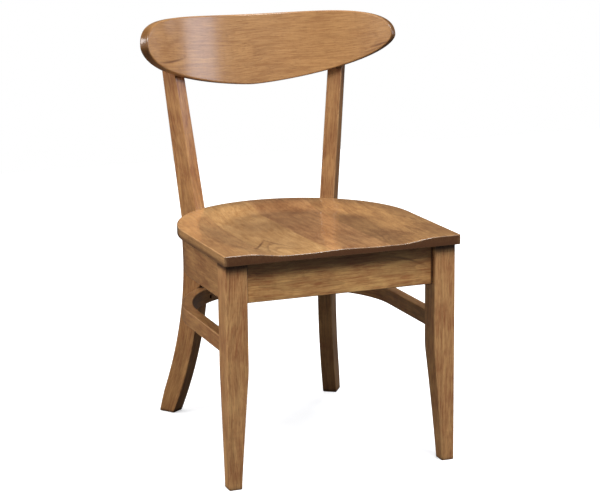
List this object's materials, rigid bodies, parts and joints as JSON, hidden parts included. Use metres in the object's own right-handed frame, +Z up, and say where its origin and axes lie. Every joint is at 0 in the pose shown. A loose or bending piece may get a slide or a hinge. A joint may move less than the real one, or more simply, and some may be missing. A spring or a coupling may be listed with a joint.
{
  "type": "side chair",
  "caption": "Armless wooden dining chair with a scooped board seat, raked rear posts, a curved kidney-shaped crest rail and a bent bow stretcher.",
  "frame": {"origin": "on the floor, under the middle of the chair's overall width and depth", "axes": "+Z up, +X to the right of someone facing the chair's front, -Y out of the chair's front"},
  "size_m": [0.542, 0.5558, 0.8385],
  "materials": {
    "board_1": "stained maple under satin lacquer",
    "board_2": "stained maple under satin lacquer",
    "board_3": "stained maple under satin lacquer",
    "board_4": "stained maple under satin lacquer",
    "crest_maple": "stained maple under satin lacquer",
    "leg_maple": "stained maple under satin lacquer",
    "apron_maple": "stained maple under satin lacquer",
    "bow_maple": "stained maple under satin lacquer",
    "beech": "bare planed beech",
    "screw_steel": "zinc-plated steel"
  },
  "bodies": {
    "root": {"seat_board_1": "board_1", "seat_board_2": "board_2", "seat_board_3": "board_3", "seat_board_4": "board_4", "crest_rail": "crest_maple", "rear_leg_left": "leg_maple", "rear_leg_right": "leg_maple", "front_leg_left": "leg_maple", "front_leg_right": "leg_maple", "front_apron": "apron_maple", "seat_hoop": "apron_maple", "bow_stretcher": "bow_maple", "corner_block_left": "beech", "corner_block_right": "beech", "back_block_left": "beech", "back_block_right": "beech", "front_apron_dowels": "beech", "seat_hoop_dowels": "beech", "bow_dowels": "beech", "corner_block_screws": "screw_steel", "back_block_screws": "screw_steel", "seat_screws": "screw_steel", "rear_leg_screws": "screw_steel", "bow_screws": "screw_steel", "crest_screws": "screw_steel"}
  },
  "joints": []
}
